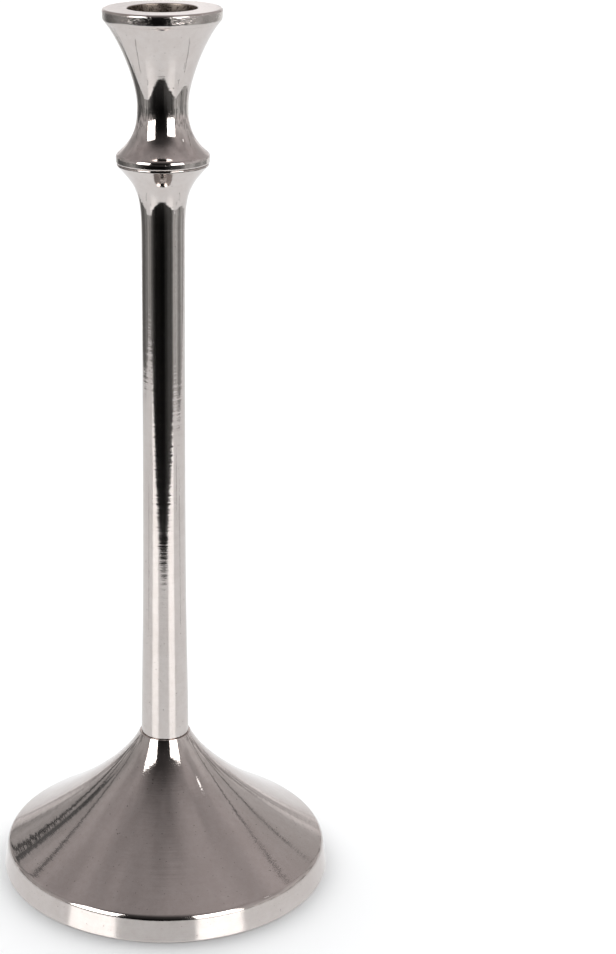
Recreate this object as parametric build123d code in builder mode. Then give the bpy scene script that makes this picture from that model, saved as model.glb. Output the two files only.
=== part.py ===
from build123d import *
from math import cos, radians, sin, tan
import os

# A silver candlestick for one taper candle. Three polished castings, the candle cup, the stem and the foot,
# stand on one another and are drawn together by a threaded rod with a nut inside the foot.
# Millimetres. Everything is turned about the Z axis, and the table is at z = 0.


# ---- Driving dimensions ----

total_height = 333.0

# Candle cup, from the rim down to the ridge
rim_radius = 21.15
rim_lower_radius = 20.95
rim_band_height = 3.8
rim_top_rounding = 0.85
rim_lower_rounding = 1.7
flare_angle = 49.0
waist_radius = 9.04
waist_height = 298.9
ridge_radius = 16.7
ridge_top_height = 281.8
ridge_rise_angle = 38.0
ridge_top_rounding = 1.8
ridge_lower_rounding = 0.75

# Reach of each curve along its tangent at an end. A longer reach keeps the curve straight for longer there.
rim_reach = 9.0
waist_reach_up = 8.4
waist_reach_down = 5.2
ridge_reach = 9.4

# Socket for a standard taper candle
socket_radius = 12.35
socket_depth = 13.5
socket_floor_dip = 2.0
socket_mouth_rounding = 0.4

# Stem, between the ridge and the foot
cup_seat_height = 278.85
foot_seat_height = 55.85
stem_top_radius = 16.4
stem_top_land = 0.75
stem_flare_angle = 46.5
stem_slim_radius = 7.83
stem_slim_height = 246.0
stem_end_radius = 9.1
stem_end_angle = 90.5
stem_top_reach = 12.6
stem_slim_reach_up = 20.3
stem_slim_reach_down = 166.0
stem_end_reach = 46.0
stem_edge_rounding = 0.35
stem_bore_radius = 4.5

# Registers that centre the castings on one another
register_radius = 6.0
register_length = 5.0
register_play = 0.05
register_gap = 0.5

# Foot
foot_top_radius = 9.7
foot_top_angle = 66.2
shoulder_radius = 62.1
shoulder_height = 9.75
shoulder_angle = 32.0
foot_top_reach = 10.3
shoulder_reach = 40.3
base_radius = 63.65
shoulder_rounding = 3.0
foot_edge_rounding = 0.4
foot_wall_drop = 3.0
foot_wall_inset = 1.5
foot_hollow_radius = 56.5
clamp_seat_height = 42.0

# Felt ring, glued into a shallow recess under the foot
felt_thickness = 1.0
felt_stand_off = 0.3
felt_inner_radius = 57.8
felt_outer_radius = 62.2
recess_margin = 0.3

# M6 hardware
thread_radius = 3.0
thread_play = 0.02
rod_clearance_radius = 3.3
rod_end_chamfer = 0.8
thread_engagement = 16.0
tap_drill_dip = 1.5
rod_end_below_nut = 4.0
flat_washer_radius = 9.0
flat_washer_hole_radius = 3.2
flat_washer_thickness = 1.6
lock_washer_radius = 5.9
lock_washer_hole_radius = 3.05
lock_washer_thickness = 1.6
lock_washer_gap = 0.9
lock_washer_gap_angle = 20.0
nut_across_flats = 10.0
nut_height = 5.0
nut_corner_angle = 30.0
nut_mouth_rounding = 0.4


# ---- Heights that follow ----

rim_band_bottom = total_height - rim_band_height
socket_floor = total_height - socket_depth
register_bottom = cup_seat_height - register_length
rod_top = register_bottom + thread_engagement
flat_washer_bottom = clamp_seat_height - flat_washer_thickness
lock_washer_bottom = flat_washer_bottom - lock_washer_thickness
nut_bottom = lock_washer_bottom - nut_height
rod_bottom = nut_bottom - rod_end_below_nut
foot_bottom = felt_stand_off


def handle(start, angle, length):
    """The point that lies the given length from the start, in the direction of the angle in degrees."""
    radius, height = start
    return (radius + length * cos(radians(angle)), height + length * sin(radians(angle)))


def turned_edges(part, radius, height):
    """The circular edges of a turned part with this radius, at this height."""
    circles = part.edges().filter_by(GeomType.CIRCLE)
    return circles.filter_by(
        lambda edge: abs(edge.radius - radius) < 0.01 and abs(edge.arc_center.Z - height) < 0.01
    )


# ---- Candle cup ----

rim_corner = (rim_lower_radius, rim_band_bottom)
waist = (waist_radius, waist_height)
ridge_corner = (ridge_radius, ridge_top_height)
upper_flare = [
    rim_corner,
    handle(rim_corner, 180 + flare_angle, rim_reach),
    handle(waist, 90, waist_reach_up),
    waist,
]
lower_flare = [
    waist,
    handle(waist, -90, waist_reach_down),
    handle(ridge_corner, 180 - ridge_rise_angle, ridge_reach),
    ridge_corner,
]

with BuildPart() as candle_cup:
    # Outer shape: rim band, concave flare, waist, concave rise to the ridge band, and the register below it
    with BuildSketch(Plane.XZ):
        with BuildLine():
            Polyline((0, total_height), (rim_radius, total_height), rim_corner)
            Bezier(*upper_flare)
            Bezier(*lower_flare)
            Polyline(
                ridge_corner,
                (ridge_radius, cup_seat_height),
                (register_radius, cup_seat_height),
                (register_radius, register_bottom),
                (0, register_bottom),
                (0, total_height),
            )
        make_face()
    revolve(axis=Axis.Z)
    # Candle socket, with a floor that dips to the middle
    with Locations((0, 0, total_height)):
        Hole(socket_radius, socket_depth)
    with Locations((0, 0, socket_floor)):
        Cone(
            bottom_radius=thread_radius,
            top_radius=socket_radius,
            height=socket_floor_dip,
            align=(Align.CENTER, Align.CENTER, Align.MAX),
            mode=Mode.SUBTRACT,
        )
    # Tapped hole for the rod, drilled from below, with the drill's point above it
    with Locations((0, 0, rod_top)):
        Cylinder(
            thread_radius + thread_play,
            thread_engagement,
            align=(Align.CENTER, Align.CENTER, Align.MAX),
            mode=Mode.SUBTRACT,
        )
        Cone(
            bottom_radius=thread_radius - tap_drill_dip / 2,
            top_radius=0,
            height=tap_drill_dip,
            align=(Align.CENTER, Align.CENTER, Align.MIN),
            mode=Mode.SUBTRACT,
        )
    # Polished edges
    fillet(turned_edges(candle_cup, rim_radius, total_height), rim_top_rounding)
    fillet(turned_edges(candle_cup, rim_lower_radius, rim_band_bottom), rim_lower_rounding)
    fillet(turned_edges(candle_cup, socket_radius, total_height), socket_mouth_rounding)
    fillet(turned_edges(candle_cup, ridge_radius, ridge_top_height), ridge_top_rounding)
    fillet(turned_edges(candle_cup, ridge_radius, cup_seat_height), ridge_lower_rounding)
    chamfer(turned_edges(candle_cup, register_radius, register_bottom), register_gap)


# ---- Stem ----

stem_top_corner = (stem_top_radius, cup_seat_height - stem_top_land)
stem_slim = (stem_slim_radius, stem_slim_height)
stem_end = (stem_end_radius, foot_seat_height)
stem_flare = [
    stem_top_corner,
    handle(stem_top_corner, 180 + stem_flare_angle, stem_top_reach),
    handle(stem_slim, 90, stem_slim_reach_up),
    stem_slim,
]
stem_shaft = [
    stem_slim,
    handle(stem_slim, -90, stem_slim_reach_down),
    handle(stem_end, stem_end_angle, stem_end_reach),
    stem_end,
]

with BuildPart() as stem:
    # Outer shape: a short land under the ridge, the flare, then the slim shaft that swells towards the foot
    with BuildSketch(Plane.XZ):
        with BuildLine():
            Polyline((0, cup_seat_height), (stem_top_radius, cup_seat_height), stem_top_corner)
            Bezier(*stem_flare)
            Bezier(*stem_shaft)
            Polyline(stem_end, (0, foot_seat_height), (0, cup_seat_height))
        make_face()
    revolve(axis=Axis.Z)
    # Bore for the rod, opened at both ends for the registers
    with Locations((0, 0, cup_seat_height)):
        Hole(stem_bore_radius, cup_seat_height - foot_seat_height)
        Hole(register_radius + register_play, register_length + register_gap)
    with BuildSketch(Plane.XY.offset(foot_seat_height)):
        Circle(register_radius + register_play)
    extrude(amount=register_length + register_gap, mode=Mode.SUBTRACT)
    # Polished edges
    fillet(turned_edges(stem, stem_top_radius, cup_seat_height), stem_edge_rounding)
    fillet(turned_edges(stem, stem_end_radius, foot_seat_height), stem_edge_rounding)


# ---- Foot ----

foot_top = (foot_top_radius, foot_seat_height)
shoulder = (shoulder_radius, shoulder_height)
foot_cone = [
    foot_top,
    handle(foot_top, -foot_top_angle, foot_top_reach),
    handle(shoulder, 180 - shoulder_angle, shoulder_reach),
    shoulder,
]
foot_roof = [(radius - foot_wall_inset, height - foot_wall_drop) for radius, height in foot_cone]

with BuildPart() as foot:
    # Outer shape: register, seat for the stem, concave cone, shoulder and the nearly upright rim band
    with BuildSketch(Plane.XZ):
        with BuildLine():
            Polyline(
                (0, foot_seat_height + register_length),
                (register_radius, foot_seat_height + register_length),
                (register_radius, foot_seat_height),
                foot_top,
            )
            Bezier(*foot_cone)
            Polyline(
                shoulder,
                (base_radius, foot_bottom),
                (0, foot_bottom),
                (0, foot_seat_height + register_length),
            )
        make_face()
    revolve(axis=Axis.Z)
    # Hollow underside: it follows the cone, up to the flat clamping seat and out to the thick rim
    with BuildSketch(Plane.XZ):
        with BuildLine():
            roof = Bezier(*foot_roof)
            Polyline(roof @ 1, (foot_hollow_radius + foot_wall_drop, 0), (0, 0), (0, foot_seat_height), roof @ 0)
        make_face()
        with Locations((foot_hollow_radius / 2, clamp_seat_height / 2)):
            Rectangle(foot_hollow_radius, clamp_seat_height, mode=Mode.INTERSECT)
    revolve(axis=Axis.Z, mode=Mode.SUBTRACT)
    # Clearance hole for the rod
    with Locations((0, 0, foot_seat_height + register_length)):
        Hole(rod_clearance_radius, foot_seat_height + register_length)
    # Shallow recess for the felt ring
    with BuildSketch(Plane.XY.offset(foot_bottom)):
        Circle(felt_outer_radius + recess_margin)
        Circle(felt_inner_radius - recess_margin, mode=Mode.SUBTRACT)
    extrude(amount=felt_thickness - felt_stand_off, mode=Mode.SUBTRACT)
    # Polished edges, and the chamfer that leads the register into the stem
    fillet(turned_edges(foot, shoulder_radius, shoulder_height), shoulder_rounding)
    fillet(turned_edges(foot, base_radius, foot_bottom), foot_edge_rounding)
    fillet(turned_edges(foot, foot_top_radius, foot_seat_height), stem_edge_rounding)
    chamfer(turned_edges(foot, register_radius, foot_seat_height + register_length), register_gap)


# ---- Tie rod ----

with BuildPart() as tie_rod:
    with BuildSketch(Plane.XY.offset(rod_bottom)):
        Circle(thread_radius)
    extrude(amount=rod_top - rod_bottom)
    chamfer(turned_edges(tie_rod, thread_radius, rod_bottom), rod_end_chamfer)
    chamfer(turned_edges(tie_rod, thread_radius, rod_top), rod_end_chamfer)


# ---- Flat washer ----

with BuildPart() as flat_washer:
    with BuildSketch(Plane.XY.offset(flat_washer_bottom)):
        Circle(flat_washer_radius)
        Circle(flat_washer_hole_radius, mode=Mode.SUBTRACT)
    extrude(amount=flat_washer_thickness)
    fillet(turned_edges(flat_washer, flat_washer_radius, flat_washer_bottom), flat_washer_thickness / 5)


# ---- Split lock washer, pressed flat ----

lock_washer_middle = (lock_washer_radius + lock_washer_hole_radius) / 2
slant_reach = lock_washer_thickness / 2 * tan(radians(lock_washer_gap_angle))
half_gap = lock_washer_gap / 2

with BuildPart() as lock_washer:
    with BuildSketch(Plane.XY.offset(lock_washer_bottom)):
        Circle(lock_washer_radius)
        Circle(lock_washer_hole_radius, mode=Mode.SUBTRACT)
    extrude(amount=lock_washer_thickness)
    # The cut through the ring is slanted, as the wire's ends are
    with BuildSketch(Plane.YZ.offset(lock_washer_hole_radius / 2)):
        with BuildLine():
            Polyline(
                (-half_gap - slant_reach, lock_washer_bottom),
                (half_gap - slant_reach, lock_washer_bottom),
                (half_gap + slant_reach, lock_washer_bottom + lock_washer_thickness),
                (-half_gap + slant_reach, lock_washer_bottom + lock_washer_thickness),
                close=True,
            )
        make_face()
    extrude(amount=lock_washer_middle + lock_washer_radius, mode=Mode.SUBTRACT)


# ---- Hex nut ----

nut_corner_radius = nut_across_flats / 2 / cos(radians(30))
nut_corner_drop = (nut_corner_radius - nut_across_flats / 2) * tan(radians(nut_corner_angle))

with BuildPart() as hex_nut:
    with BuildSketch(Plane.XY.offset(nut_bottom)):
        RegularPolygon(radius=nut_across_flats / 2, side_count=6, major_radius=False)
    extrude(amount=nut_height)
    # Corners turned off at both faces
    with BuildSketch(Plane.XZ):
        with BuildLine():
            Polyline(
                (0, nut_bottom),
                (nut_across_flats / 2, nut_bottom),
                (nut_corner_radius, nut_bottom + nut_corner_drop),
                (nut_corner_radius, lock_washer_bottom - nut_corner_drop),
                (nut_across_flats / 2, lock_washer_bottom),
                (0, lock_washer_bottom),
                close=True,
            )
        make_face()
    revolve(axis=Axis.Z, mode=Mode.INTERSECT)
    with Locations((0, 0, lock_washer_bottom)):
        Hole(thread_radius + thread_play, nut_height)
    chamfer(turned_edges(hex_nut, thread_radius + thread_play, nut_bottom), nut_mouth_rounding)
    chamfer(turned_edges(hex_nut, thread_radius + thread_play, lock_washer_bottom), nut_mouth_rounding)


# ---- Felt ring ----

with BuildPart() as felt_ring:
    with BuildSketch():
        Circle(felt_outer_radius)
        Circle(felt_inner_radius, mode=Mode.SUBTRACT)
    extrude(amount=felt_thickness)


# ---- One STEP file for each piece ----

pieces = {
    "candle_cup": candle_cup,
    "stem": stem,
    "foot": foot,
    "tie_rod": tie_rod,
    "flat_washer": flat_washer,
    "lock_washer": lock_washer,
    "hex_nut": hex_nut,
    "felt_ring": felt_ring,
}

os.makedirs("parts", exist_ok=True)
for name, piece in pieces.items():
    piece.part.label = name
    export_step(piece.part, f"parts/{name}.step")
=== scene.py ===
from math import cos, degrees, floor, pi, radians, sin, tan

import bmesh
import bpy
from mathutils import Matrix, Vector, noise


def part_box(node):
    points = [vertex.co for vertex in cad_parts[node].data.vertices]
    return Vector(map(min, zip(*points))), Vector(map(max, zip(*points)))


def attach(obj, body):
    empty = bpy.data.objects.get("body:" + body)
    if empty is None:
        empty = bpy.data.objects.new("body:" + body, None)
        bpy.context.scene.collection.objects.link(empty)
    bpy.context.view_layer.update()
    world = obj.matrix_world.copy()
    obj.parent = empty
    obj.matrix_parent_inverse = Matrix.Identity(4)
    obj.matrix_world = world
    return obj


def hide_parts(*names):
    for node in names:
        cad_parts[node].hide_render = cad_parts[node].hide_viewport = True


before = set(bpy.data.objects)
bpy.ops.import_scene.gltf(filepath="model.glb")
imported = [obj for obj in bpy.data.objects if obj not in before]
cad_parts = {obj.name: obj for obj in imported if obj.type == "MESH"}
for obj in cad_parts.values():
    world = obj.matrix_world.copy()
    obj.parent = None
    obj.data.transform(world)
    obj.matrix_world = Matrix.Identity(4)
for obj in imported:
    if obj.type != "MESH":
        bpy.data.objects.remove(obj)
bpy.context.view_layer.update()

# A silver candlestick. The three polished castings are rebuilt here as dense turned meshes on the same
# outlines as the CAD, the tie rod with its thread and the felt ring with its soft edges. The washers and the
# nut keep their CAD shapes. A studio round the object gives the polished metal something to reflect.

MM = 0.001
scene = bpy.context.scene


# ---- Sizes, in millimetres. Heights and outer radii come from the CAD nodes. ----

cup_low, cup_high = (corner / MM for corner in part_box("candle_cup"))
stem_low, stem_high = (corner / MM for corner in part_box("stem"))
foot_low, foot_high = (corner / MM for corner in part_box("foot"))
rod_low, rod_high = (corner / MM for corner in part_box("tie_rod"))
washer_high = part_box("flat_washer")[1] / MM
felt_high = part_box("felt_ring")[1] / MM

# Candle cup
rim_height = cup_high.z
rim_radius = cup_high.x - 0.01
rim_lower_radius = rim_radius - 0.2
rim_band_bottom = rim_height - 3.8
rim_top_rounding = 0.85
rim_lower_rounding = 1.7
flare_angle = 49.0
waist = (9.04, 298.9)
ridge_corner = (16.7, 281.8)
ridge_rise_angle = 38.0
ridge_top_rounding = 1.8
ridge_lower_rounding = 0.75
socket_radius = 12.35
socket_floor = rim_height - 13.5
socket_dip = 2.0
socket_middle_radius = 3.0
socket_middle_rounding = 1.0
socket_floor_rounding = 0.8
socket_mouth_rounding = 0.4
tapped_radius = 3.02
tapped_tip = 1.5

# The spigots that centre the joints, one under the cup and one on the foot, and their bores in the stem
register_radius = 6.0
register_rounding = 0.5
register_bore_radius = 6.05
register_bore_depth = 5.5

# Stem
cup_seat = stem_high.z
foot_seat = stem_low.z
stem_top_corner = (stem_high.x, cup_seat - 0.75)
stem_top_rounding = 0.3
stem_flare_angle = 46.5
stem_slim = (7.83, 246.0)
stem_end = (9.1, foot_seat)
stem_end_angle = 90.5
stem_edge_rounding = 0.35
stem_bore_radius = 4.5

# Foot
foot_top = (9.7, foot_seat)
foot_top_angle = 66.2
foot_top_rounding = 0.35
shoulder = (62.1, 9.75)
shoulder_rounding = 3.0
shoulder_angle = 32.0
base_radius = foot_high.x + 0.05
foot_bottom = foot_low.z
foot_edge_rounding = 0.4
foot_register_top = foot_high.z
rod_clearance = 3.3
clamp_seat = washer_high.z
hollow_radius = 56.5
hollow_edge_rounding = 0.2
hollow_corner_rounding = 0.8
wall_inset = 1.5
wall_drop = 3.0
recess_roof = felt_high.z
recess_outer = felt_high.x + 0.3
recess_inner = 57.5

# Felt ring, a little smaller than its CAD solid so that its fibres stay inside
felt_inner_radius = 57.8
felt_outer_radius = felt_high.x - 0.03
felt_top = felt_high.z - 0.02
felt_rounding = 0.12

# Tie rod
thread_pitch = 1.0
thread_chamfer = 0.8

# How far each curve runs along its tangent at an end. A longer reach keeps it straight for longer there.
rim_reach = 9.0
waist_reach_up = 8.4
waist_reach_down = 5.2
ridge_reach = 9.4
stem_top_reach = 12.6
stem_slim_reach_up = 20.3
stem_slim_reach_down = 166.0
stem_end_reach = 46.0
foot_top_reach = 10.3
shoulder_reach = 40.3

# Segments round each turned piece, and points along a rounded corner
cup_segments = 192
stem_segments = 160
foot_segments = 256
felt_segments = 512
rod_segments = 20
corner_points = 12


# ---- Outlines ----

def handle(start, angle, length):
    """The point that lies the given length from the start, in the direction of the angle in degrees."""
    return (start[0] + length * cos(radians(angle)), start[1] + length * sin(radians(angle)))


def curve(start, start_handle, end_handle, end, count):
    """Points on a cubic curve."""
    corners = [Vector(point) for point in (start, start_handle, end_handle, end)]
    points = []
    for step in range(count + 1):
        t = step / count
        s = 1 - t
        weights = (s ** 3, 3 * s * s * t, 3 * s * t * t, t ** 3)
        points.append(sum((w * c for w, c in zip(weights, corners)), Vector((0.0, 0.0))))
    return points


def straight(start, end, spacing=2.0):
    """Points on a straight run, at most the spacing apart."""
    start, end = Vector(start), Vector(end)
    count = max(1, round((end - start).length / spacing))
    return [start.lerp(end, step / count) for step in range(count + 1)]


def shortened(points, reach):
    """The run without its last stretch, cut at the given distance from its end."""
    points = list(points)
    left = reach
    while len(points) > 2 and (points[-1] - points[-2]).length <= left:
        left -= (points[-1] - points[-2]).length
        points.pop()
    last, before = points[-1], points[-2]
    points[-1] = last + (before - last).normalized() * min(left, (last - before).length * 0.98)
    return points


def outline(runs):
    """One outline from runs of points. Each run is given with the rounding of the corner where it starts."""
    path = list(runs[0][1])
    for rounding, run in runs[1:]:
        if rounding:
            before = (path[-1] - path[-2]).normalized()
            after = (run[1] - run[0]).normalized()
            reach = rounding * tan(before.angle(after) / 2)
            path = shortened(path, reach)
            run = shortened(run[::-1], reach)[::-1]
            before = (path[-1] - path[-2]).normalized()
            after = (run[1] - run[0]).normalized()
            bulge = 4 / 3 * tan(before.angle(after) / 4) * rounding
            corner = curve(path[-1], path[-1] + before * bulge, run[0] - after * bulge, run[0],
                           corner_points)
            path += corner[1:]
        path += run[1:]
    return path


def turned(name, path, segments, closed):
    """A mesh turned about the Z axis. Points on the axis become poles, and the end of a closed outline joins
    its start. The attribute 'along' is the distance along the outline in metres, for marks that run round."""
    path = [Vector((max(point[0], 0.0), point[1])) for point in path]
    mesh = bpy.data.meshes.new(name)
    build = bmesh.new()
    layer = build.verts.layers.float.new("along")
    rings = []
    travelled = 0.0
    for index, point in enumerate(path):
        if index:
            travelled += (point - path[index - 1]).length
        ring = []
        for step in range(1 if point[0] < 1e-6 else segments):
            turn = 2 * pi * step / segments
            vertex = build.verts.new((point[0] * sin(turn) * MM, -point[0] * cos(turn) * MM, point[1] * MM))
            vertex[layer] = travelled * MM
            ring.append(vertex)
        rings.append(ring)
    pairs = list(zip(rings, rings[1:]))
    if closed:
        pairs.append((rings[-1], rings[0]))
    for near, far in pairs:
        for step in range(segments):
            following = (step + 1) % segments
            corners = [near[step % len(near)], near[following % len(near)],
                       far[following % len(far)], far[step % len(far)]]
            distinct = list(dict.fromkeys(corners))
            if len(distinct) > 2:
                build.faces.new(distinct)
    bmesh.ops.recalc_face_normals(build, faces=build.faces)
    build.to_mesh(mesh)
    build.free()
    mesh.shade_smooth()
    mesh.set_sharp_from_angle(angle=radians(32))
    piece = bpy.data.objects.new(name, mesh)
    scene.collection.objects.link(piece)
    return piece


# ---- Material building ----

class Shader:
    """A node material, built one node at a time."""

    def __init__(self, name):
        self.material = bpy.data.materials.new(name)
        self.material.use_nodes = True
        self.tree = self.material.node_tree
        self.tree.nodes.clear()

    def node(self, kind, inputs=None, **settings):
        made = self.tree.nodes.new(kind)
        for key, value in settings.items():
            setattr(made, key, value)
        for key, value in (inputs or {}).items():
            if isinstance(value, bpy.types.NodeSocket):
                self.tree.links.new(value, made.inputs[key])
            else:
                made.inputs[key].default_value = value
        return made

    def math(self, operation, *values):
        return self.node("ShaderNodeMath", dict(enumerate(values)), operation=operation).outputs[0]

    def scaled(self, vector, amount):
        made = self.node("ShaderNodeVectorMath", {0: vector, "Scale": amount}, operation="SCALE")
        return made.outputs["Vector"]

    def object_place(self):
        return self.node("ShaderNodeTexCoord").outputs["Object"]

    def noise(self, vector, scale, detail=3.0, roughness=0.5):
        made = self.node(
            "ShaderNodeTexNoise",
            {"Vector": vector, "Scale": scale, "Detail": detail, "Roughness": roughness},
        )
        return made.outputs["Fac"]

    def spread(self, value, low, high, new_low=0.0, new_high=1.0):
        """The value's range from low to high, carried over to the new range with soft ends."""
        made = self.node(
            "ShaderNodeMapRange",
            {"Value": value, "From Min": low, "From Max": high, "To Min": new_low, "To Max": new_high},
            interpolation_type="SMOOTHSTEP",
        )
        return made.outputs["Result"]

    def spread_line(self, value, low, high):
        made = self.node("ShaderNodeMapRange", {"Value": value, "From Min": low, "From Max": high})
        return made.outputs["Result"]

    def blend(self, amount, first, second):
        made = self.node("ShaderNodeMix", data_type="RGBA")
        for socket, value in zip((made.inputs[0], made.inputs[6], made.inputs[7]), (amount, first, second)):
            if isinstance(value, bpy.types.NodeSocket):
                self.tree.links.new(value, socket)
            elif isinstance(value, (int, float)):
                socket.default_value = value
            else:
                socket.default_value = (*value, 1.0)
        return made.outputs[2]

    def bump(self, height, distance, normal=None):
        inputs = {"Height": height, "Distance": distance, "Strength": 1.0}
        if normal is not None:
            inputs["Normal"] = normal
        return self.node("ShaderNodeBump", inputs).outputs["Normal"]

    def finished(self, shader):
        self.node("ShaderNodeOutputMaterial", {"Surface": shader.outputs[0]})
        return self.material

    def surface(self, inputs):
        return self.finished(self.node("ShaderNodeBsdfPrincipled", inputs))

    def emission(self, colour, strength=1.0):
        return self.finished(self.node("ShaderNodeEmission", {"Color": colour, "Strength": strength}))


def rings_of(shader, place, across_scale, along_scale):
    """Coordinates that stretch every mark round the axis: slow across, fast along the outline."""
    along = shader.node("ShaderNodeAttribute", attribute_name="along").outputs["Fac"]
    split = shader.node("ShaderNodeSeparateXYZ", {0: place})
    joined = shader.node("ShaderNodeCombineXYZ", {
        0: shader.math("MULTIPLY", split.outputs[0], across_scale),
        1: shader.math("MULTIPLY", split.outputs[1], across_scale),
        2: shader.math("MULTIPLY", along, along_scale),
    })
    return joined.outputs[0]


def plated_casting(name, grain_depth, ring_depth, rough_bands=()):
    """Nickel plating on hand-polished cast aluminium: mirror bright, with the ripple of the casting under it,
    rings left by the polishing wheel, fine grain and pits, and faint handling smudges. A rough band, where
    the polishing left more of the casting's skin, is given by two heights in millimetres and its depth."""
    shader = Shader(name)
    place = shader.object_place()
    height = shader.node("ShaderNodeSeparateXYZ", {0: place}).outputs[2]
    broad = shader.noise(place, 38.0, 2.0)
    ripple = shader.noise(place, 210.0, 3.0, 0.6)
    grain = shader.noise(place, 950.0, 2.0, 0.6)
    rings = shader.noise(rings_of(shader, place, 26.0, 620.0), 1.0, 3.0, 0.6)
    lines = shader.noise(rings_of(shader, place, 70.0, 3200.0), 1.0, 3.0)
    pits = shader.spread(shader.noise(place, 1100.0, 1.0), 0.72, 0.79)
    smudge = shader.spread(shader.noise(place, 24.0, 6.0, 0.68), 0.46, 0.70)
    cloud = shader.spread(shader.noise(place, 330.0, 4.0, 0.7), 0.35, 0.70)
    normal = shader.bump(broad, 6.5e-5)
    normal = shader.bump(ripple, 2.6e-5, normal=normal)
    normal = shader.bump(rings, ring_depth, normal=normal)
    normal = shader.bump(grain, grain_depth, normal=normal)
    for low, high, depth in rough_bands:
        above = shader.math("GREATER_THAN", height, low * MM)
        below = shader.math("LESS_THAN", height, high * MM)
        within = shader.math("MULTIPLY", above, below)
        skin = shader.math("MULTIPLY", shader.noise(place, 760.0, 4.0, 0.65), within)
        normal = shader.bump(skin, depth, normal=normal)
    normal = shader.bump(lines, 1.6e-6, normal=normal)
    normal = shader.bump(shader.math("MULTIPLY", pits, -1.0), 5.0e-6, normal=normal)
    clean, handled, clouded, pitted = (
        (0.605, 0.565, 0.542), (0.548, 0.506, 0.482), (0.545, 0.495, 0.470), (0.16, 0.145, 0.13)
    )
    tint = shader.blend(smudge, clean, handled)
    tint = shader.blend(shader.math("MULTIPLY", cloud, 0.6), tint, clouded)
    tint = shader.blend(shader.math("MULTIPLY", pits, 0.6), tint, pitted)
    roughness = shader.math("MULTIPLY_ADD", smudge, 0.05, 0.05)
    roughness = shader.math("MULTIPLY_ADD", lines, 0.05, roughness)
    return shader.surface({
        "Base Color": tint, "Metallic": 1.0, "Roughness": roughness, "Normal": normal,
    })


def as_cast(name, bright, dull):
    """The inside of a casting: plated, and never polished. Satin, granular and a little warmer."""
    shader = Shader(name)
    place = shader.object_place()
    sand = shader.noise(place, 900.0, 5.0, 0.7)
    swells = shader.noise(place, 120.0, 3.0)
    stain = shader.spread(shader.noise(place, 55.0, 5.0, 0.65), 0.40, 0.75)
    normal = shader.bump(swells, 1.2e-4)
    normal = shader.bump(sand, 6.0e-5, normal=normal)
    tint = shader.blend(stain, bright, dull)
    return shader.surface({
        "Base Color": tint, "Metallic": 1.0, "Normal": normal,
        "Roughness": shader.spread(sand, 0.3, 0.7, 0.20, 0.42),
    })


def zinc_plated(name):
    """Bright zinc plating on steel hardware, slightly bluish, with a fine grain and dull patches."""
    shader = Shader(name)
    place = shader.object_place()
    patches = shader.noise(place, 320.0, 4.0, 0.6)
    grain = shader.noise(place, 2600.0, 2.0)
    tint = shader.blend(shader.spread(patches, 0.35, 0.7), (0.50, 0.52, 0.54), (0.66, 0.66, 0.62))
    normal = shader.bump(grain, 8.0e-6)
    return shader.surface({
        "Base Color": tint, "Metallic": 1.0, "Normal": normal,
        "Roughness": shader.spread(patches, 0.3, 0.75, 0.24, 0.46),
    })


def wool_felt(name):
    """Dense dark felt: short matted fibres, with a soft sheen."""
    shader = Shader(name)
    place = shader.object_place()
    fibres = shader.noise(place, 3800.0, 5.0, 0.7)
    lint = shader.noise(place, 260.0, 3.0)
    tint = shader.blend(shader.spread(fibres, 0.35, 0.7), (0.018, 0.018, 0.020), (0.075, 0.075, 0.082))
    tint = shader.blend(shader.spread(lint, 0.45, 0.8, 0.0, 0.35), tint, (0.10, 0.10, 0.105))
    return shader.surface({
        "Base Color": tint, "Roughness": 0.95, "Sheen Weight": 0.35, "Sheen Roughness": 0.5,
        "Normal": shader.bump(fibres, 1.5e-4),
    })


rough_rim = (rim_height - 4.8, rim_height - 0.7, 1.5e-4)
rough_ridge = (278.9, 280.9, 6.0e-5)
cup_metal = plated_casting("plated_casting_cup", grain_depth=3.5e-6, ring_depth=1.6e-5,
                           rough_bands=(rough_rim, rough_ridge))
stem_metal = plated_casting("plated_casting_stem", grain_depth=7.0e-6, ring_depth=3.0e-5)
foot_metal = plated_casting("plated_casting_foot", grain_depth=2.5e-6, ring_depth=2.2e-5)
foot_inside = as_cast("plated_casting_foot_inside", (0.66, 0.62, 0.585), (0.50, 0.45, 0.41))
# The socket's inside gets far darker, browner tones than the foot's inside: partly tarnish, mostly painted
# shade of the deep hole.
socket_tarnish_and_shade = as_cast("plated_casting_socket_tarnish_and_shade", (0.30, 0.255, 0.22), (0.13, 0.10, 0.08))
zinc = zinc_plated("zinc_plated_steel")
felt = wool_felt("felt")


def finish_piece(piece, material, node, inside=None, is_inside=None):
    """Gives a new piece its material, hangs it under the root body, and hides the CAD node it stands for. A
    casting's unpolished inside has a second material, on the faces whose middle passes the test."""
    piece.data.materials.append(material)
    if inside:
        piece.data.materials.append(inside)
        for face in piece.data.polygons:
            radius, height = face.center.xy.length / MM, face.center.z / MM
            faces_axis = face.normal.xy.dot(face.center.xy) < 0
            faces_down = face.normal.z < -0.2
            if is_inside(radius, height, faces_axis or faces_down):
                face.material_index = 1
    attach(piece, "root")
    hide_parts(node)


# ---- Candle cup ----

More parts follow.
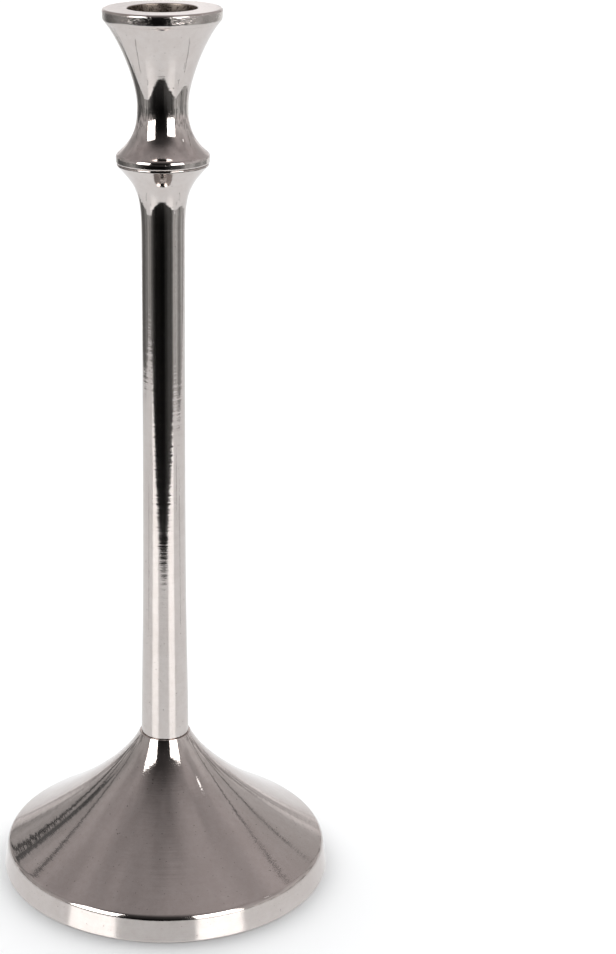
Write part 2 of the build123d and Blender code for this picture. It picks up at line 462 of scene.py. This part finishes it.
rim_lower_corner = (rim_lower_radius, rim_band_bottom)
upper_flare = curve(
    rim_lower_corner, handle(rim_lower_corner, 180 + flare_angle, rim_reach),
    handle(waist, 90, waist_reach_up), waist, count=60,
)
lower_flare = curve(
    waist, handle(waist, -90, waist_reach_down), handle(ridge_corner, 180 - ridge_rise_angle, ridge_reach),
    ridge_corner, count=50,
)
socket_middle = (socket_middle_radius, socket_floor - socket_dip)
ridge_lower_corner = (ridge_corner[0], cup_seat)
cup_outline = outline([
    (0, straight((0, socket_middle[1]), socket_middle)),
    (socket_middle_rounding, straight(socket_middle, (socket_radius, socket_floor), 1.0)),
    (socket_floor_rounding, straight((socket_radius, socket_floor), (socket_radius, rim_height), 1.0)),
    (socket_mouth_rounding, straight((socket_radius, rim_height), (rim_radius, rim_height), 0.6)),
    (rim_top_rounding, straight((rim_radius, rim_height), rim_lower_corner, 0.3)),
    (rim_lower_rounding, upper_flare),
    (0, lower_flare),
    (ridge_top_rounding, straight(ridge_corner, ridge_lower_corner, 0.2)),
    (ridge_lower_rounding, straight(ridge_lower_corner, (register_radius, cup_seat))),
    (0, straight((register_radius, cup_seat), (register_radius, cup_low.z))),
    (register_rounding, straight((register_radius, cup_low.z), (tapped_radius, cup_low.z))),
    (0, straight((tapped_radius, cup_low.z), (tapped_radius, rod_high.z))),
    (0, straight((tapped_radius, rod_high.z), (0, rod_high.z + tapped_tip))),
])
candle_cup = turned("candle_cup_polished", cup_outline, cup_segments, closed=False)
finish_piece(candle_cup, cup_metal, "candle_cup", socket_tarnish_and_shade,
             lambda radius, height, inward: radius < socket_radius + 0.05 and height > socket_floor - 2.5)


# ---- Stem ----

stem_flare = curve(
    stem_top_corner, handle(stem_top_corner, 180 + stem_flare_angle, stem_top_reach),
    handle(stem_slim, 90, stem_slim_reach_up), stem_slim, count=80,
)
stem_shaft = curve(
    stem_slim, handle(stem_slim, -90, stem_slim_reach_down), handle(stem_end, stem_end_angle, stem_end_reach),
    stem_end, count=120,
)
stem_top_edge = (stem_top_corner[0], cup_seat)
lower_bore_end = foot_seat + register_bore_depth
upper_bore_end = cup_seat - register_bore_depth
stem_outline = outline([
    (0, straight((register_bore_radius, cup_seat), stem_top_edge)),
    (stem_edge_rounding, straight(stem_top_edge, stem_top_corner, 0.2)),
    (stem_top_rounding, stem_flare),
    (0, stem_shaft),
    (stem_edge_rounding, straight(stem_end, (register_bore_radius, foot_seat))),
    (0, straight((register_bore_radius, foot_seat), (register_bore_radius, lower_bore_end))),
    (0, straight((register_bore_radius, lower_bore_end), (stem_bore_radius, lower_bore_end))),
    (0, straight((stem_bore_radius, lower_bore_end), (stem_bore_radius, upper_bore_end), 20.0)),
    (0, straight((stem_bore_radius, upper_bore_end), (register_bore_radius, upper_bore_end))),
])
stem = turned("stem_polished", stem_outline, stem_segments, closed=True)
finish_piece(stem, stem_metal, "stem")


# ---- Foot ----

foot_cone = curve(
    foot_top, handle(foot_top, -foot_top_angle, foot_top_reach),
    handle(shoulder, 180 - shoulder_angle, shoulder_reach), shoulder, count=110,
)
# The hollow's roof follows the cone and stops a little short of its corners with the wall and the seat
corner_gap = 0.3
roof = [point - Vector((wall_inset, wall_drop)) for point in reversed(foot_cone)]
roof = [point for point in roof if point.x < hollow_radius - corner_gap and point.y < clamp_seat - corner_gap]
wall_top = Vector((hollow_radius, roof[0].y - 0.25))
seat_edge = Vector((roof[-1].x - 0.2, clamp_seat))
foot_outline = outline([
    (0, straight((rod_clearance, foot_register_top), (register_radius, foot_register_top), 1.0)),
    (register_rounding, straight((register_radius, foot_register_top), (register_radius, foot_seat))),
    (0, straight((register_radius, foot_seat), foot_top)),
    (foot_top_rounding, foot_cone),
    (shoulder_rounding, straight(shoulder, (base_radius, foot_bottom), 0.4)),
    (foot_edge_rounding, straight((base_radius, foot_bottom), (recess_outer, foot_bottom), 0.3)),
    (0, straight((recess_outer, foot_bottom), (recess_outer, recess_roof))),
    (0, straight((recess_outer, recess_roof), (recess_inner, recess_roof))),
    (0, straight((recess_inner, recess_roof), (recess_inner, foot_bottom))),
    (0, straight((recess_inner, foot_bottom), (hollow_radius, foot_bottom), 0.4)),
    (hollow_edge_rounding, straight((hollow_radius, foot_bottom), wall_top, 0.5)),
    (hollow_corner_rounding, [wall_top] + roof + [seat_edge]),
    (hollow_corner_rounding, straight(seat_edge, (rod_clearance, clamp_seat), 1.0)),
])
foot = turned("foot_polished", foot_outline, foot_segments, closed=True)
finish_piece(foot, foot_metal, "foot", foot_inside,
             lambda radius, height, inward: inward and rod_clearance < radius < hollow_radius + 0.1
             and foot_bottom + 0.2 < height < clamp_seat + 0.1)


# ---- Tie rod, with its M6 thread ----

def threaded_rod(name, low, high, crest, pitch, chamfer, segments):
    """A rod threaded over its whole length. The rows of vertices follow the helix."""
    thread_depth = 0.61 * pitch
    root, flank = crest - thread_depth, crest - thread_depth / 2
    profile = [crest, crest, flank, root, root, flank]
    build = bmesh.new()
    layer = build.verts.layers.float.new("along")
    turns = floor((high - low) / pitch) + 3
    rows = []
    for row in range(turns * len(profile)):
        ring = []
        for step in range(segments):
            rise = low - pitch + (row / len(profile) + step / segments) * pitch
            height = min(max(rise, low), high)
            radius = min(profile[row % len(profile)], crest - chamfer + min(height - low, high - height))
            turn = 2 * pi * step / segments
            vertex = build.verts.new((radius * cos(turn) * MM, radius * sin(turn) * MM, height * MM))
            vertex[layer] = height * MM
            ring.append(vertex)
        rows.append(ring)
    for row, ring in enumerate(rows[:-1]):
        for step in range(segments - 1):
            build.faces.new((ring[step], ring[step + 1], rows[row + 1][step + 1], rows[row + 1][step]))
        joined = row + len(profile)
        if joined + 1 < len(rows):
            build.faces.new((ring[-1], rows[joined][0], rows[joined + 1][0], rows[row + 1][-1]))
    bmesh.ops.remove_doubles(build, verts=build.verts, dist=2.0e-6)
    bmesh.ops.dissolve_degenerate(build, edges=build.edges, dist=1.0e-7)
    loose = [vertex for vertex in build.verts if not vertex.link_faces]
    bmesh.ops.delete(build, geom=loose, context="VERTS")
    bmesh.ops.holes_fill(build, edges=[edge for edge in build.edges if edge.is_boundary])
    bmesh.ops.recalc_face_normals(build, faces=build.faces)
    mesh = bpy.data.meshes.new(name)
    build.to_mesh(mesh)
    build.free()
    mesh.shade_smooth()
    mesh.set_sharp_from_angle(angle=radians(40))
    piece = bpy.data.objects.new(name, mesh)
    scene.collection.objects.link(piece)
    return piece


tie_rod = threaded_rod("tie_rod_threaded", rod_low.z, rod_high.z, rod_high.x, thread_pitch, thread_chamfer,
                       rod_segments)
finish_piece(tie_rod, zinc, "tie_rod")


# ---- Felt ring: cut edges and faces that are slightly uneven ----

felt_outline = outline([
    (felt_rounding, straight((felt_inner_radius, felt_top), (felt_outer_radius, felt_top), 0.4)),
    (felt_rounding, straight((felt_outer_radius, felt_top), (felt_outer_radius, 0.0), 0.25)),
    (felt_rounding, straight((felt_outer_radius, 0.0), (felt_inner_radius, 0.0), 0.4)),
    (felt_rounding, straight((felt_inner_radius, 0.0), (felt_inner_radius, felt_top), 0.25)),
])
felt_ring = turned("felt_ring_soft", felt_outline[:-1], felt_segments, closed=True)
felt_middle_radius = 60.0
fibre_length = 0.05
side_fibre_length = 0.03
side_inset = 0.024
for vertex in felt_ring.data.vertices:
    fibre = noise.noise(vertex.co * 900.0) + 0.5 * noise.noise(vertex.co * 2300.0)
    outward = Vector((vertex.co.x, vertex.co.y, 0.0)).normalized()
    if vertex.co.z > fibre_length * MM:
        side = 1 if vertex.co.xy.length > felt_middle_radius * MM else -1
        vertex.co -= outward * (side_fibre_length * MM * min(max(fibre, -0.8), 0.8) + side_inset * MM) * side
    else:
        vertex.co.z += fibre_length * MM * max(fibre, 0.0)
finish_piece(felt_ring, felt, "felt_ring")


# ---- The washers and the nut keep their CAD shapes ----

for name in ("flat_washer", "lock_washer", "hex_nut"):
    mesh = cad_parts[name].data
    mesh.materials.clear()
    mesh.materials.append(zinc)


# ---- Camera: close, looking down at the foot from a little above the rim ----

def add_camera(place, pitch, roll, lens, shift):
    """A camera on the object's front side. It looks down by the pitch, and is turned by the roll about its
    own line of sight. The shift moves the object aside in the frame, in parts of the frame's height."""
    data = bpy.data.cameras.new("camera")
    data.sensor_fit = "VERTICAL"
    data.sensor_height = 36.0
    data.lens = lens
    data.shift_x, data.shift_y = shift
    camera = bpy.data.objects.new("camera", data)
    scene.collection.objects.link(camera)
    tilt = Matrix.Rotation(radians(90 - pitch), 4, "X") @ Matrix.Rotation(radians(roll), 4, "Z")
    camera.matrix_world = Matrix.Translation(place) @ tilt
    scene.camera = camera


add_camera(
    place=(0.0, -0.7367, 0.42742), pitch=19.0496, roll=-0.2177, lens=79.2804, shift=(0.150943, -0.034245)
)


# ---- Studio ----

def add_mesh(name, points, faces, material):
    mesh = bpy.data.meshes.new(name)
    mesh.from_pydata(points, [], faces)
    mesh.materials.append(material)
    made = bpy.data.objects.new(name, mesh)
    scene.collection.objects.link(made)
    return made


def toward(azimuth, rise=0.0):
    """The direction at an azimuth from the camera's side and a rise above the table, in degrees."""
    level = cos(radians(rise))
    return Vector((sin(radians(azimuth)) * level, -cos(radians(azimuth)) * level, sin(radians(rise))))


def across(azimuth):
    """The level direction at right angles to the direction at an azimuth."""
    return Vector((cos(radians(azimuth)), sin(radians(azimuth)), 0.0))


def only_in_reflections(made):
    """The studio around the object is seen in the metal, and neither lights nor shades the floor."""
    made.visible_camera = False
    made.visible_diffuse = False
    made.visible_transmission = False
    made.visible_volume_scatter = False
    made.visible_shadow = False


def white_sheet(name, tone, gloss):
    """White card or paint with a faint unevenness, for the table and the floor."""
    shader = Shader(name)
    place = shader.object_place()
    darker, lighter = (0.990, 0.993, 1.0), (1.005, 1.008, 1.012)
    tone = shader.blend(
        shader.noise(place, 3.0, 3.0), [tone * part for part in darker], [tone * part for part in lighter]
    )
    return shader.surface({
        "Base Color": tone, "Roughness": 0.24 if gloss else 1.0,
        "Specular IOR Level": 0.5 if gloss else 0.0,
    })


def seen_directly(shader):
    """One for light that goes straight to the metal, almost none for light that the metal would throw on the
    floor, so that the lamps' caustics don't wash the shadow out."""
    path = shader.node("ShaderNodeLightPath")
    scattered = shader.math("GREATER_THAN", path.outputs["Diffuse Depth"], 0.5)
    return shader.math("SUBTRACT", 1.0, shader.math("MULTIPLY", scattered, 0.97))


def room_light():
    """What stands round the table, by direction: grey walls and ceiling, a white backdrop behind, and
    darkness on the camera's side between the lamps. The tones below, at and above the horizon are each given
    by azimuth."""
    shader = Shader("room")
    place = shader.object_place()
    split = shader.node("ShaderNodeSeparateXYZ", {0: place})
    turn = shader.math("ARCTAN2", split.outputs[0], shader.math("MULTIPLY", split.outputs[1], -1.0))
    turn = shader.math("MULTIPLY", turn, degrees(1))
    flat = shader.node("ShaderNodeCombineXYZ", {0: split.outputs[0], 1: split.outputs[1]}).outputs[0]
    reach = shader.node("ShaderNodeVectorMath", {0: flat}, operation="LENGTH").outputs["Value"]
    rise = shader.math("MULTIPLY", shader.math("ARCTAN2", split.outputs[2], reach), degrees(1))
    cloud = shader.math("SUBTRACT", shader.noise(place, 0.9, 3.0), 0.5)
    rise = shader.math("ADD", rise, shader.math("MULTIPLY", cloud, 7.0))
    turn = shader.math("ADD", turn, shader.math("MULTIPLY", cloud, 5.0))

    def by_turn(stops, colour):
        ramp = shader.node("ShaderNodeValToRGB", {0: shader.spread_line(turn, -180, 180)})
        elements = ramp.color_ramp.elements
        elements.remove(elements[-1])
        for number, (angle, tone) in enumerate(stops):
            element = elements[0] if number == 0 else elements.new((angle + 180) / 360)
            element.position = (angle + 180) / 360
            element.color = (*(tone * part for part in colour), 1.0)
        return ramp.outputs["Color"]

    below = by_turn([
        (-180, 1.0), (-155, 0.7), (-142, 0.16), (-110, 0.17), (-93, 0.30), (-79, 0.42), (-65, 0.17),
        (-52, 0.06), (-41, 0.018), (3, 0.024), (11, 0.065), (27, 0.095), (38, 0.075), (49, 0.15), (59, 0.50),
        (82, 0.45), (89, 0.28), (107, 0.40), (128, 0.46), (140, 0.75), (180, 1.0),
    ], (0.985, 0.99, 0.98))
    level = by_turn([
        (-180, 1.1), (-165, 0.80), (-150, 0.44), (-122, 0.42), (-36, 0.42), (-29, 0.06), (12, 0.06),
        (18, 0.45), (45, 0.6), (130, 0.58), (148, 0.58), (165, 0.80), (180, 1.1),
    ], (1.015, 0.975, 0.97))
    above = by_turn([
        (-180, 0.38), (-128, 0.42), (-95, 0.38), (-40, 0.31), (0, 0.34), (50, 0.365), (85, 0.40), (112, 0.51),
        (142, 0.53), (160, 0.42), (180, 0.38),
    ], (1.055, 0.965, 0.970))

    # Folds that hang below the horizon
    fold_place = shader.node("ShaderNodeCombineXYZ", {0: shader.math("MULTIPLY", turn, 0.16)}).outputs[0]
    folds = shader.spread(shader.noise(fold_place, 1.0, 3.0, 0.7), 0.30, 0.70, 0.55, 1.6)
    tone = shader.blend(shader.spread(rise, -7.0, -4.0), shader.scaled(below, folds), level)
    # Furniture and equipment near the horizon
    clutter = shader.spread(shader.noise(place, 1.7, 5.0, 0.65), 0.36, 0.64, 0.45, 1.5)
    near_horizon = shader.math("MULTIPLY", shader.spread(rise, -14.0, -10.0), shader.spread(rise, 12.0, 5.0))
    extra = shader.math("MULTIPLY", near_horizon, shader.math("SUBTRACT", clutter, 1.0))
    tone = shader.scaled(tone, shader.math("ADD", 1.0, extra))
    # Upper walls and ceiling, unevenly lit
    tone = shader.blend(shader.spread(rise, 9.0, 48.0), tone, above)
    tone = shader.scaled(tone, shader.spread(shader.noise(place, 0.42, 2.0), 0.36, 0.64, 0.86, 1.15))
    # The dark patch round the camera
    aim = shader.node("ShaderNodeVectorMath", {0: place}, operation="NORMALIZE").outputs["Vector"]
    dark_middle = tuple(toward(-9, 20))
    nearness = shader.node("ShaderNodeVectorMath", {0: aim, 1: dark_middle}, operation="DOT_PRODUCT")
    nearness = shader.math("ADD", nearness.outputs["Value"], shader.math("MULTIPLY", cloud, 0.10))
    tone = shader.scaled(tone, shader.spread(nearness, cos(radians(62)), cos(radians(24)), 1.0, 0.13))
    return shader.emission(tone, seen_directly(shader))


def add_dome(name, radius, height, material):
    """A sphere round everything, with its middle at the given height. It is seen from inside."""
    mesh = bpy.data.meshes.new(name)
    build = bmesh.new()
    bmesh.ops.create_uvsphere(build, u_segments=64, v_segments=32, radius=radius)
    build.to_mesh(mesh)
    build.free()
    mesh.materials.append(material)
    made = bpy.data.objects.new(name, mesh)
    made.location.z = height
    scene.collection.objects.link(made)
    return made


def pale_backdrop():
    """The white surroundings that the camera sees beyond the floor."""
    shader = Shader("backdrop")
    place = shader.object_place()
    tone = shader.blend(shader.noise(place, 0.2, 2.0), (1.0, 1.0, 1.01), (1.02, 1.02, 1.03))
    return shader.emission(tone)


def add_stand(name, azimuths, distance, width, heights, tone):
    """An upright board or pole beside the table, seen in the metal only. It leans from its first azimuth, at
    its foot, to the second at its top."""
    points = []
    for azimuth, height, side in zip(azimuths, heights, (1, -1)):
        aside = across(azimuth) * width / 2 * side
        middle = toward(azimuth) * distance + Vector((0, 0, height))
        points += [middle - aside, middle + aside]
    shader = Shader(name)
    place = shader.object_place()
    paint = shader.blend(shader.noise(place, 26.0, 4.0), [tone * 0.5] * 3, [tone * 1.6] * 3)
    only_in_reflections(add_mesh(name, points, [(0, 1, 2, 3)], shader.emission(paint)))


def add_softbox(name, azimuth, half_angle, bottom, top, power):
    """A lamp front that faces the object, at an azimuth from the camera's side. Its bottom and its top are
    each given as a distance from the axis and a height, and it spans the same angle at both."""
    aside = across(azimuth) * tan(radians(half_angle))
    low, high = (toward(azimuth) * reach + Vector((0, 0, height)) for reach, height in (bottom, top))
    points = [low - aside * bottom[0], low + aside * bottom[0], high + aside * top[0], high - aside * top[0]]
    shader = Shader(name)
    warm_white = (1.0, 0.985, 0.97, 1.0)
    front = shader.emission(warm_white, shader.math("MULTIPLY", seen_directly(shader), power))
    only_in_reflections(add_mesh(name, points, [(0, 1, 2, 3)], front))


def add_cable(name, outer, inner):
    """A dark cable that lies on the table and runs towards the object, seen in the metal only."""
    above = 1.0e-4
    shader = Shader(name)
    dark, worn = (0.10, 0.10, 0.10), (0.34, 0.33, 0.32)
    paint = shader.blend(shader.noise(shader.object_place(), 60.0, 3.0), dark, worn)
    points = [(outer, 0.006, above), (inner, 0.003, above), (inner, 0.010, above), (outer, 0.020, above)]
    only_in_reflections(add_mesh(name, points, [(0, 1, 2, 3)], shader.emission(paint)))


# The floor lies just under the object, so that their faces don't coincide
ground = -2.0e-5
near, far = -6.0, 8.0
floor_corners = [(near, near, ground), (-near, near, ground), (-near, far, ground), (near, far, ground)]
white_floor = add_mesh("floor", floor_corners, [(0, 1, 2, 3)], white_sheet("floor_white", 0.94, gloss=False))
white_floor.visible_glossy = False

# The white table top that the metal mirrors, with its uneven edge
table_edge = [
    (0.0, -0.322), (0.05, -0.325), (0.12, -0.355), (0.20, -0.376), (0.43, -0.363), (0.57, -0.30), (0.58, 0.0),
    (0.60, 0.25), (0.68, 0.68), (0.68, 1.6), (-0.25, 1.6), (-0.30, 0.66), (-0.50, 0.42), (-0.62, 0.20),
    (-0.70, 0.05), (-0.745, -0.026), (-0.72, -0.18), (-0.616, -0.287), (-0.431, -0.325), (-0.282, -0.325),
    (-0.198, -0.33), (-0.10, -0.318),
]
table = add_mesh("table_top", [(x, y, ground) for x, y in table_edge], [tuple(range(len(table_edge)))],
                 white_sheet("table_white", 0.93, gloss=True))
only_in_reflections(table)

dome_height = 0.17
only_in_reflections(add_dome("room", 6.0, dome_height, room_light()))
backdrop = add_dome("backdrop", 9.5, dome_height, pale_backdrop())
only_in_reflections(backdrop)
backdrop.visible_camera = True
backdrop.visible_glossy = False

add_softbox("softbox_left", -49.5, 16.7, (1.45, 0.26), (1.16, 1.16), 6.0)
add_softbox("softbox_right", 36.0, 15.8, (1.50, 0.19), (0.80, 0.75), 6.0)

# Dark stands behind the table's corners, a bright glint, and small clamps at the table's sides
for name, azimuths, distance, width, heights, tone in (
    ("stand_1", (-145, -133), 0.55, 0.014, (0.0, 0.27), 0.04),
    ("stand_2", (-140, -129), 0.55, 0.010, (0.0, 0.26), 0.04),
    ("stand_3", (-122, -120), 0.55, 0.013, (0.0, 0.45), 0.07),
    ("stand_head", (-129, -130), 0.55, 0.066, (0.21, 0.27), 0.11),
    ("stand_arm", (-137, -135), 0.56, 0.050, (0.22, 0.25), 0.12),
    ("pole_1", (117, 116), 0.80, 0.017, (0.10, 0.77), 0.03),
    ("pole_2", (133, 130), 0.80, 0.015, (0.0, 0.42), 0.05),
    ("glint", (87, 87), 0.80, 0.035, (0.72, 0.80), 3.0),
    ("leg", (90, 90), 0.66, 0.035, (-0.05, 0.012), 0.03),
    ("clamp_1", (-65, -65), 0.41, 0.012, (0.0, 0.03), 0.04),
    ("clamp_2", (70, 70), 0.41, 0.012, (0.0, 0.03), 0.04),
    ("clamp_3", (86, 86), 0.37, 0.008, (0.0, 0.02), 0.04),
):
    add_stand(name, azimuths, distance, width, heights, tone)
add_cable("cable_left", -0.44, -0.25)
add_cable("cable_right", 0.44, 0.25)


def daylight():
    """Soft light on the floor, from nothing on the camera's side to its strongest behind the object."""
    world = bpy.data.worlds.new("studio")
    world.use_nodes = True
    nodes, links = world.node_tree.nodes, world.node_tree.links
    direction = nodes.new("ShaderNodeTexCoord")
    parts = nodes.new("ShaderNodeSeparateXYZ")
    level = nodes.new("ShaderNodeMapRange")
    level.inputs["From Min"].default_value = -0.767
    level.inputs["To Min"].default_value = 0.0
    level.inputs["To Max"].default_value = 2.65
    light = nodes["Background"]
    light.inputs["Color"].default_value = (1.0, 1.0, 1.0, 1.0)
    links.new(direction.outputs["Generated"], parts.inputs[0])
    links.new(parts.outputs[1], level.inputs["Value"])
    links.new(level.outputs["Result"], light.inputs["Strength"])
    return world


scene.world = daylight()
scene.view_settings.view_transform = "Standard"
scene.view_settings.look = "None"
